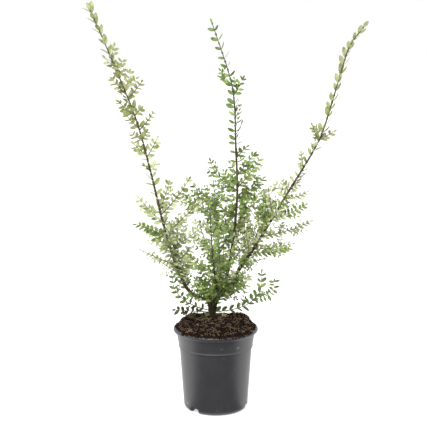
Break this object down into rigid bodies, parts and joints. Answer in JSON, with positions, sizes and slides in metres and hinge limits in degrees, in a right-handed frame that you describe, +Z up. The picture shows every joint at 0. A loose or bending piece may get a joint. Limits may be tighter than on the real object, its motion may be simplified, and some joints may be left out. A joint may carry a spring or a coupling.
{
  "type": "potted box honeysuckle shrub",
  "caption": "Young box honeysuckle shrub with small paired evergreen leaves on long arching leaders, growing in a round plastic nursery pot of dark soil.",
  "frame": {"origin": "middle of the pot's flat underside, on the ground", "axes": "+Z up along the pot's axis, +X to the right and +Y away from the viewer of the pictured side"},
  "size_m": [0.4742, 0.2123, 0.7054],
  "materials": {
    "pot": "dark grey moulded plastic with a soft sheen",
    "soil": "damp brown peat with pale fibres and small lumps",
    "bark": "thin dull grey-brown bark with fine lengthwise fibres",
    "foliage": "small smooth green leaves in pairs on thin red-brown twigs"
  },
  "bodies": {
    "root": {"pot": "pot", "soil": "soil", "trunk": "bark", "leader_left": "bark", "leader_centre": "bark", "leader_right": "bark", "bough_front": "bark", "bough_back": "bark", "left_tip": "foliage", "left_shoot_1": "foliage", "left_shoot_2": "foliage", "left_shoot_3": "foliage", "left_shoot_4": "foliage", "left_shoot_5": "foliage", "left_shoot_6": "foliage", "left_shoot_7": "foliage", "left_shoot_8": "foliage", "left_shoot_9": "foliage", "left_shoot_10": "foliage", "left_shoot_11": "foliage", "left_shoot_12": "foliage", "left_shoot_13": "foliage", "left_shoot_14": "foliage", "left_shoot_15": "foliage", "left_shoot_16": "foliage", "left_shoot_17": "foliage", "left_shoot_18": "foliage", "left_shoot_19": "foliage", "centre_tip": "foliage", "centre_shoot_1": "foliage", "centre_shoot_2": "foliage", "centre_shoot_3": "foliage", "centre_shoot_4": "foliage", "centre_shoot_5": "foliage", "centre_shoot_6": "foliage", "centre_shoot_7": "foliage", "right_tip": "foliage", "right_shoot_1": "foliage", "right_shoot_2": "foliage", "right_shoot_3": "foliage", "right_shoot_4": "foliage", "right_shoot_5": "foliage", "right_shoot_6": "foliage", "right_shoot_7": "foliage", "right_shoot_8": "foliage", "right_shoot_9": "foliage", "right_shoot_10": "foliage", "right_shoot_11": "foliage", "right_shoot_12": "foliage", "right_shoot_13": "foliage", "front_tip": "foliage", "front_shoot_1": "foliage", "front_shoot_2": "foliage", "back_tip": "foliage", "back_shoot_1": "foliage", "back_shoot_2": "foliage", "trunk_shoot_1": "foliage", "trunk_shoot_2": "foliage", "trunk_shoot_3": "foliage"}
  },
  "joints": []
}
